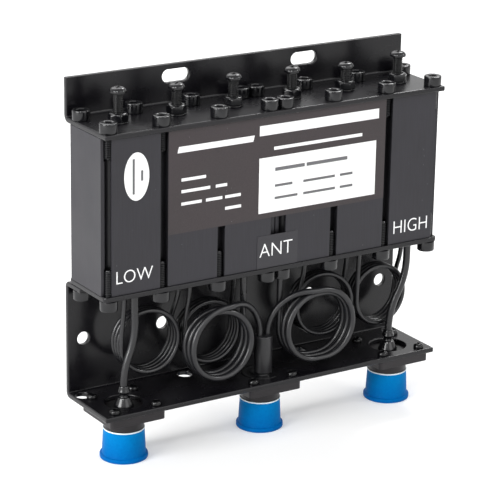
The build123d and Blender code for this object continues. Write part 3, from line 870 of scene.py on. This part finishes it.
@dataclass
class CapScrews:
    """Socket cap screws above and below the blocks, and the small domed screws of the ports."""

    palette: Palette
    head_r: float = CAP_HEAD_R
    head_h: float = 4.0
    top_length: float = 10.0
    bottom_length: float = 12.0
    pitch: float = 0.7

    @staticmethod
    def columns() -> list[float]:
        """Return X of the screw columns in millimetres."""
        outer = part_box("top_cap_screws")[1][0] / MM - CAP_HEAD_R
        cavity_1, cavity_2, cavity_3 = (x for x, _ in cavity_axes()[3:])
        inner = cavity_1 - (outer - cavity_3)
        half = [inner, (cavity_1 + cavity_2) / 2, (cavity_2 + cavity_3) / 2, outer]
        return sorted([-x for x in half] + half)

    @staticmethod
    def rows() -> tuple[float, float]:
        """Return Y of the front and the back row in millimetres."""
        low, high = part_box("top_cap_screws")
        return (low[1] / MM + CAP_HEAD_R, high[1] / MM - CAP_HEAD_R)

    def cap_screw(self, length: float) -> Form:
        """Return a socket cap screw with a threaded shank of the given length, its seat at Z = 0."""
        r, h = self.head_r, self.head_h
        rings = rings_of(Ring.ROUND, (1.5, -length))
        for i in range(int((length - 0.6) / self.pitch)):
            z = -length + 0.35 + i * self.pitch
            rings += rings_of(Ring.ROUND, (1.68, z), (2.0, z + self.pitch * 0.4), (2.0, z + self.pitch * 0.6))
        rings += rings_of(Ring.ROUND, (2.0, 0.0), (r - 0.3, 0.0), (r - 0.06, 0.12), (r, 0.4), (r, h - 0.5))
        rings += rings_of(Ring.ROUND, (r - 0.05, h - 0.26), (r - 0.17, h - 0.08), (r - 0.36, h), (2.1, h))
        rings += rings_of(Ring.ROUND, (1.95, h - 0.06))
        return turned(rings + rings_of(Ring.HEX, (1.55, h - 0.32), (1.5, h - 0.4), (1.5, h - 2.0)))

    def domed_screw(self) -> Form:
        """Return a port screw with a domed head and a hexagon socket, its seat at Z = 0."""
        shank = rings_of(Ring.ROUND, (1.2, -4.9), (1.2, 0.0))
        flank = rings_of(Ring.ROUND, (1.9, 0.0), (2.05, 0.15), (2.1, 0.45), (2.06, 0.9), (1.9, 1.3))
        dome = rings_of(Ring.ROUND, (1.6, 1.62), (1.2, 1.83), (1.0, 1.88))
        return turned(shank + flank + dome + rings_of(Ring.HEX, (0.78, 1.72), (0.75, 1.0)), 36)

    def tree(self) -> GrowingTree:
        """Return a tree that sets a screw on every seat, with inputs Seats, Screw, Seed and Finish."""
        kinds = {"Seats": "NodeSocketGeometry", "Screw": "NodeSocketObject", "Seed": "NodeSocketInt"}
        tree = GrowingTree("screws_on_seats", kinds)
        group, given = tree.group, tree.given
        screw = add_node(group, "GeometryNodeObjectInfo", {}, {"Object": given["Screw"]})
        sixth = {"data_type": "FLOAT", 2: 0.0, 3: math.pi / 3}
        turn = add_node(group, "FunctionNodeRandomValue", sixth, {"Seed": given["Seed"]})
        angles = add_node(group, "ShaderNodeCombineXYZ", {}, {"Z": turn.outputs[1]})
        pattern = {"Instance": screw.outputs["Geometry"], "Rotation": angles.outputs["Vector"]}
        placed = add_node(group, "GeometryNodeInstanceOnPoints", {}, {"Points": given["Seats"], **pattern})
        tree.close(placed.outputs["Instances"])
        return tree

    def row(
        self, name: str, form: Form, seats: list[Point], upside_down: bool, surface: Surface, node: str
    ) -> None:
        """Set one screw on every seat.

        Args:
            name: The piece's name.
            form: The screw's vertices and faces.
            seats: Where the heads sit, in millimetres.
            upside_down: Whether the heads hang below their seats.
            surface: The screws' finish.
            node: The frame's node that they stand for.
        """
        vertices, faces = form
        if upside_down:
            vertices = [(x, -y, -z) for x, y, z in vertices]
        single = solid_piece(f"{name}_single", (vertices, faces), self.palette[surface])
        smooth_but_creased(single.data)
        carrier = solid_piece(f"{name}_seats", (seats, []), self.palette[surface])
        values = {"Screw": single, "Seed": len(name), "Finish": self.palette[surface]}
        mesh = self.tree().grow(carrier, values)
        bpy.data.objects.remove(single)
        settle(linked(name, mesh), HOUSING, node)

    def build(self) -> None:
        """Set the screws above and below the blocks and on the shelf."""
        front, back = self.rows()
        plate_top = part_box("top_cap_screws")[1][2] / MM - self.head_h
        low_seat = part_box("bottom_plate")[0][2] / MM
        lip_seat = low_seat - SHEET
        above = [(x, y, plate_top) for x in self.columns() for y in (front, back)]
        below = [(x, front, low_seat) for x in self.columns()] + [(x, back, lip_seat) for x in self.columns()]
        short = self.cap_screw(self.top_length)
        self.row("threaded_top_screws", short, above, False, BLACK_OXIDE, "top_cap_screws")
        long = self.cap_screw(self.bottom_length)
        self.row("threaded_bottom_screws", long, below, True, BLACK_OXIDE, "bottom_cap_screws")
        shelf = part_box("lower_bracket")[0][2] / MM + SHEET
        square = (-PORT_SCREW, PORT_SCREW)
        ports = [(x + a, PORT_Y + b, shelf) for x in PORT_XS.values() for a in square for b in square]
        self.row("domed_port_screws", self.domed_screw(), ports, False, SHADED_OXIDE, "port_screws")


@dataclass
class PortTails:
    """What stands on the ports above the shelf and hangs on them below it."""

    palette: Palette
    foot: float = 20.7
    grommet_share: float = 0.1
    cap_sides: int = 72

    def place(
        self, name: str, form: Form, at: Point, surface: Surface, slot: Slot, body: str, node: str = ""
    ) -> None:
        """Set a turned piece upright.

        Args:
            name: The piece's name.
            form: Its vertices and faces about the Z axis.
            at: Where its foot stands, in millimetres.
            surface: Its finish.
            slot: The record's slot that its finish comes from; not used.
            body: The body that it rides on.
            node: The frame's node that it stands for, if any.
        """
        vertices = [(x + at[0], y + at[1], z + at[2]) for x, y, z in form[0]]
        piece = solid_piece(name, (vertices, form[1]), self.palette[surface])
        smooth_but_creased(piece.data)
        settle(piece, body, node)

    def boot(self) -> Form:
        """Return a boot: a cone on the port, a neck, and a collar round the lead."""
        cone = ((3.85, 0.0), (3.98, 0.25), (3.9, 0.7), (3.4, 1.8), (2.85, 2.9), (2.55, 3.6), (2.35, 3.9))
        neck = ((1.8, 4.1), (1.66, 4.5), (1.66, 5.5), (1.8, 5.85))
        collar = ((2.35, 6.05), (2.48, 6.35), (2.35, 6.9), (2.12, 7.5), (2.04, 8.0), (2.0, 8.4))
        return turned(rings_of(Ring.ROUND, *cone, *neck, *collar, (1.88, 8.6), (1.6, 8.7), (1.45, 8.7)))

    def build(self) -> None:
        """Make the boots, the seat of the middle sleeve, the dust caps, and the pale rings on their lips that
        paint a highlight.
        """
        for name in ("low", "high"):
            at = (PORT_XS[name], PORT_Y, self.foot)
            node = f"cable_boot_{name}"
            self.place(f"moulded_boot_{name}", self.boot(), at, BOOT_RUBBER, Slot.RUBBER, HOUSING, node)
        flat = ((7.5, 0.6), (7.5, 1.85), (7.4, 1.95), (4.6, 1.95))
        seat = turned(rings_of(Ring.ROUND, *flat, (4.5, 2.0), (4.3, 2.3), (4.0, 2.45), (3.7, 2.5)))
        sleeve_low, sleeve_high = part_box("tee_sleeve")
        lean = (sleeve_low[0] + sleeve_high[0]) / 2 / MM * self.grommet_share
        self.place("sleeve_grommet", seat, (lean, PORT_Y, self.foot), BOOT_RUBBER, Slot.RUBBER, HOUSING)
        for name, x in PORT_XS.items():
            body, at = f"dust_cap_{name}", (x, PORT_Y, 0.0)
            self.place(f"moulded_cap_{name}", self.cap(), at, BLUE_VINYL, Slot.VINYL, body, body)
            self.lay_lip_highlight(name, x)

    def cap(self) -> Form:
        """Return a dust cap: a flared rim at its closed foot, a wall that narrows, and its hollow."""
        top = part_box("dust_cap_low")[1][2] / MM
        rim = ((9.2, 0.0), (9.42, 0.12), (9.5, 0.35), (9.5, 1.4), (9.42, 1.58), (9.2, 1.7))
        wall = ((8.72, 1.85), (8.62, 2.1), (8.5, 5.0), (8.34, 8.0), (8.2, 10.5), (8.12, top))
        return turned(rings_of(Ring.ROUND, *rim, *wall, (7.9, top), (7.9, 1.0)), self.cap_sides)

    def lay_lip_highlight(self, name: str, x: float) -> None:
        """Lay a pale ring round a dust cap's mouth: a painted highlight on its rim.

        Args:
            name: The port's name.
            x: X of the port's axis in millimetres.
        """
        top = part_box("dust_cap_low")[1][2] / MM
        outer = ((7.89, -0.12), (8.2, -0.12), (8.26, 0.12), (8.2, 0.36))
        section = [(radius, top + above) for radius, above in (*outer, (7.97, 0.36), (7.89, 0.12))]
        count = len(section)
        vertices: list[Point] = []
        faces: list[tuple[int, ...]] = []
        for i in range(self.cap_sides):
            turn = 2 * math.pi * i / self.cap_sides
            vertices += [(x + r * math.cos(turn), PORT_Y + r * math.sin(turn), z) for r, z in section]
            here, there = i * count, (i + 1) % self.cap_sides * count
            for k in range(count):
                on = (k + 1) % count
                faces.append((here + k, there + k, there + on, here + on))
        # The pale ring is a painted highlight on the cap's rim.
        piece = solid_piece(f"cap_lip_{name}", (vertices, faces), self.palette[LIP_HIGHLIGHT])
        smooth_but_creased(piece.data)
        settle(piece, f"dust_cap_{name}")


@dataclass
class ScrewThreads:
    """Rolled threads on the part of each tuning screw that shows above its nut."""

    palette: Palette
    pitch: float = 0.7
    root_r: float = 1.72
    crest_r: float = 2.04
    sunk: float = 0.3
    head_h: float = 2.3
    sides: int = 28

    def tree(self) -> GrowingTree:
        """Return a tree that winds a ridge, with inputs Turns, Height, Radius, Ridge and Finish."""
        sizes = ("Turns", "Height", "Radius", "Ridge")
        tree = GrowingTree("screw_thread", dict.fromkeys(sizes, "NodeSocketFloat"))
        group, given = tree.group, tree.given
        radii = {"Start Radius": given["Radius"], "End Radius": given["Radius"]}
        sources = {"Rotations": given["Turns"], "Height": given["Height"], **radii}
        spiral = add_node(group, "GeometryNodeCurveSpiral", {"Resolution": self.sides}, sources)
        turns = {"Curve": spiral.outputs["Curve"]}
        upright = add_node(group, "GeometryNodeSetCurveNormal", {"mode": "Z_UP"}, turns)
        square = {"Resolution": 4}
        profile = add_node(group, "GeometryNodeCurvePrimitiveCircle", square, {"Radius": given["Ridge"]})
        curves = {"Curve": upright.outputs["Curve"], "Profile Curve": profile.outputs["Curve"]}
        ridge = add_node(group, "GeometryNodeCurveToMesh", {"Fill Caps": True}, curves)
        tree.close(ridge.outputs["Mesh"])
        return tree

    def thread(self, name: str, x: float, y: float, low: float, high: float) -> Piece:
        """Wind a thread ridge around an upright screw.

        Args:
            name: The piece's name.
            x: X of the screw's axis in metres.
            y: Y of the screw's axis in metres.
            low: Z where the thread starts, in metres.
            high: Z where it ends, in metres.

        Returns:
            The ridge as a plain mesh object at the origin.
        """
        carrier = linked(f"{name}_carrier", bpy.data.meshes.new(f"{name}_carrier"))
        values = {
            "Turns": (high - low) / (self.pitch * MM),
            "Height": high - low,
            "Radius": self.root_r * MM,
            "Ridge": (self.crest_r - self.root_r) * MM,
            "Finish": self.palette[THREAD_SHADE],
        }
        mesh = self.tree().grow(carrier, values)
        mesh.transform(Matrix.Translation((x, y, low)))
        return linked(name, mesh)

    def build(self) -> None:
        """Thread the six tuning screws between their nuts and heads."""
        for number in CAVITIES:
            low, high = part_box(f"tuning_screw_{number}")
            nut_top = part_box(f"lock_nut_{number}")[1][2]
            x, y = (low[0] + high[0]) / 2, (low[1] + high[1]) / 2
            start, end = nut_top - self.sunk * MM, high[2] - self.head_h * MM
            piece = self.thread(f"screw_thread_{number}", x, y, start, end)
            settle(piece, f"tuning_screw_{number}")


@dataclass
class SoftenedPieces:
    """Machined pieces of the frame with their edges broken, as deburring and plating leave them."""

    palette: Palette
    nodes: dict[str, Piece]
    bore_r: float = 2.15
    same_point_m: float = 1e-6
    flat_degrees: float = 0.5

    def widen_bores(self, form: bmesh.types.BMesh) -> None:
        """Push the walls of the screw bores out, so that the threads pass through them.

        Args:
            form: The mesh, in metres.
        """
        axes = cavity_axes()
        for vertex in form.verts:
            for x, y in axes:
                away = Vector((vertex.co.x - x * MM, vertex.co.y - y * MM))
                if away.length < self.bore_r * MM:
                    away = away.normalized() * self.bore_r * MM
                    vertex.co.x, vertex.co.y = x * MM + away.x, y * MM + away.y

    def soften(self, node: str, width: float, slot: Slot, body: str) -> None:
        """Let a copy with rounded edges stand for a node.

        Args:
            node: The frame's node.
            width: How wide the edges are rounded, in millimetres.
            slot: The record's slot that gives its finish.
            body: The body that it rides on.
        """
        form = bmesh.new()
        form.from_mesh(self.nodes[node].data)
        form.transform(self.nodes[node].matrix_world)
        bmesh.ops.remove_doubles(form, verts=form.verts, dist=self.same_point_m)
        flat = math.radians(self.flat_degrees)
        bmesh.ops.dissolve_limit(form, angle_limit=flat, verts=form.verts, edges=form.edges)
        if slot is Slot.HARDWARE:
            self.widen_bores(form)
        for face in form.faces:
            face.smooth = True
        mesh = bpy.data.meshes.new(f"softened_{node}")
        form.to_mesh(mesh)
        form.free()
        mesh.materials.clear()
        mesh.materials.append(self.palette[FINISH_OF_SLOT[slot]])
        piece = linked(mesh.name, mesh)
        rounded_edges(piece, width, 3, 40)
        settle(piece, body, node)

    def build(self) -> None:
        """Soften the bottom plate, the washers and the lock nuts."""
        self.soften("bottom_plate", 0.4, Slot.PAINT, HOUSING)
        self.soften("lock_washers", 0.12, Slot.HARDWARE, HOUSING)
        for number in CAVITIES:
            self.soften(f"lock_nut_{number}", 0.3, Slot.HARDWARE, f"lock_nut_{number}")


@dataclass
class FrameFinishes:
    """Puts its finish on every CAD node."""

    palette: Palette

    def build(self, frame: dict) -> None:
        """Dress the nodes by the record's slots.
        """
        slots = {part["node"]: part["material_slot"] for part in frame["record"]["subparts"]}
        for name, node in frame["nodes"].items():
            material = self.palette[FINISH_OF_SLOT[Slot(slots[name])]]
            for place in node.material_slots:
                place.material = material
        log.info("dressed %d nodes", len(slots))


@dataclass
class Studio:
    """Pale floor, soft lamps, white surroundings, and the camera solved from the photograph."""

    eye: Point = (-471.2, -729.95, 361.4)
    yaw: float = 32.65
    pitch: float = 18.35
    roll: float = 1.02
    lens_mm: float = 166.1
    floor_hex: str = "#ececec"
    floor_half: float = 3000.0
    floor_lift: float = 0.2
    soft_light: float = 0.3
    aim_m: Point = (0, 0, 0.08)

    def camera(self) -> None:
        """Place the camera at the photograph's viewpoint."""
        yaw, pitch, roll = (math.radians(a) for a in (self.yaw, self.pitch, self.roll))
        ahead = Vector((math.sin(yaw) * math.cos(pitch), math.cos(yaw) * math.cos(pitch), -math.sin(pitch)))
        right = Vector((math.cos(yaw), -math.sin(yaw), 0))
        up = right.cross(ahead)
        turned_right = right * math.cos(roll) + up * math.sin(roll)
        turned_up = up * math.cos(roll) - right * math.sin(roll)
        data = bpy.data.cameras.new("camera")
        data.lens = self.lens_mm
        data.sensor_width = 36
        data.clip_start = 0.05
        data.clip_end = 20
        camera = linked("camera", data)
        turn = Matrix((turned_right, turned_up, -ahead)).transposed().to_4x4()
        camera.matrix_world = Matrix.Translation(Vector(self.eye) * MM) @ turn
        bpy.context.scene.camera = camera

    def floor(self) -> None:
        """Lay the floor, which shows white to the camera apart from the shadow."""
        half = self.floor_half
        corners = [(x, y, 0) for x, y in rectangle(-half, half, -half, half)]
        piece = solid_piece("floor", (corners, [(0, 1, 2, 3)]), self.floor_material())

    def floor_material(self) -> bpy.types.Material:
        """Build the floor's pale matt finish, lifted towards white where the camera sees it."""
        material = bpy.data.materials.new("pale_floor")
        material.use_nodes = True
        tree = material.node_tree
        tree.nodes.remove(tree.nodes["Principled BSDF"])
        matt = add_node(tree, "ShaderNodeBsdfDiffuse", {"Color": linear(self.floor_hex)})
        path = add_node(tree, "ShaderNodeLightPath")
        seen = worked_out(tree, "MAXIMUM", path.outputs["Is Camera Ray"], path.outputs["Is Glossy Ray"])
        lift = worked_out(tree, "MULTIPLY", seen, self.floor_lift)
        glow = add_node(tree, "ShaderNodeEmission", {"Color": (1, 1, 1, 1)}, {"Strength": lift})
        both = add_node(tree, "ShaderNodeAddShader", {}, {0: matt.outputs[0], 1: glow.outputs[0]})
        tree.links.new(both.outputs[0], tree.nodes["Material Output"].inputs["Surface"])
        return material

    def surroundings(self) -> None:
        """Light the world softly, and show it white to camera, gloss and clear rays."""
        world = bpy.data.worlds.new("studio")
        bpy.context.scene.world = world
        world.use_nodes = True
        tree = world.node_tree
        for node in list(tree.nodes):
            tree.nodes.remove(node)
        path = add_node(tree, "ShaderNodeLightPath")
        soft = add_node(tree, "ShaderNodeBackground", {"Color": (1, 1, 1, 1), "Strength": self.soft_light})
        white = add_node(tree, "ShaderNodeBackground", {"Color": (1, 1, 1, 1), "Strength": 1.0})
        rays = path.outputs
        mirrored = worked_out(tree, "MAXIMUM", rays["Is Glossy Ray"], rays["Is Transmission Ray"])
        seen = worked_out(tree, "MAXIMUM", rays["Is Camera Ray"], mirrored)
        mix = add_node(tree, "ShaderNodeMixShader", {}, {0: seen, 1: soft.outputs[0], 2: white.outputs[0]})
        add_node(tree, "ShaderNodeOutputWorld", {}, {"Surface": mix.outputs[0]})

    def lamp(self, name: str, place: Point, size: float, power: float) -> None:
        """Hang a square soft lamp that looks at the middle of the object.

        Args:
            name: The lamp's name.
            place: Where it hangs, in metres.
            size: Its side in metres.
            power: Its power in watts.
        """
        data = bpy.data.lights.new(name, "AREA")
        data.size = size
        data.energy = power
        lamp = linked(name, data)
        ahead = Vector(self.aim_m) - Vector(place)
        lamp.matrix_world = Matrix.Translation(place) @ ahead.to_track_quat("-Z", "Y").to_matrix().to_4x4()

    def build(self) -> None:
        """Set up the view, the floor, the world and the lamps."""
        self.camera()
        self.floor()
        self.surroundings()
        self.lamp("key", (-1.5, -0.24, 0.64), 0.9, 31)
        self.lamp("front_fill", (0.4, -1.6, 0.8), 1.2, 8)
        self.lamp("back_top", (0.1, 0.9, 1.3), 1.2, 12)
        self.lamp("left_glint", (-0.9, -0.9, 1.1), 0.22, 5)
        self.lamp("right_glint", (1.1, -0.7, 0.9), 0.22, 4)
        self.lamp("edge_glint", (0.75, 0.55, 0.95), 0.3, 5)
        bpy.context.scene.view_settings.view_transform = "Standard"


def main() -> None:
    """Dress the frame, add what is printed, threaded and lit, and report each piece."""
    logging.basicConfig(level=logging.INFO)
    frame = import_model()
    palette = Palette()
    block_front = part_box("cavity_block_low")[0][1] / MM
    FrameFinishes(palette).build(frame)
    FrontPanel(palette, face_y=block_front).build()
    BentBrackets(palette).build()
    SoftenedPieces(palette, frame["nodes"]).build()
    CapScrews(palette).build()
    PortTails(palette).build()
    ScrewThreads(palette).build()
    Studio().build()


if __name__ == "__main__":
    main()
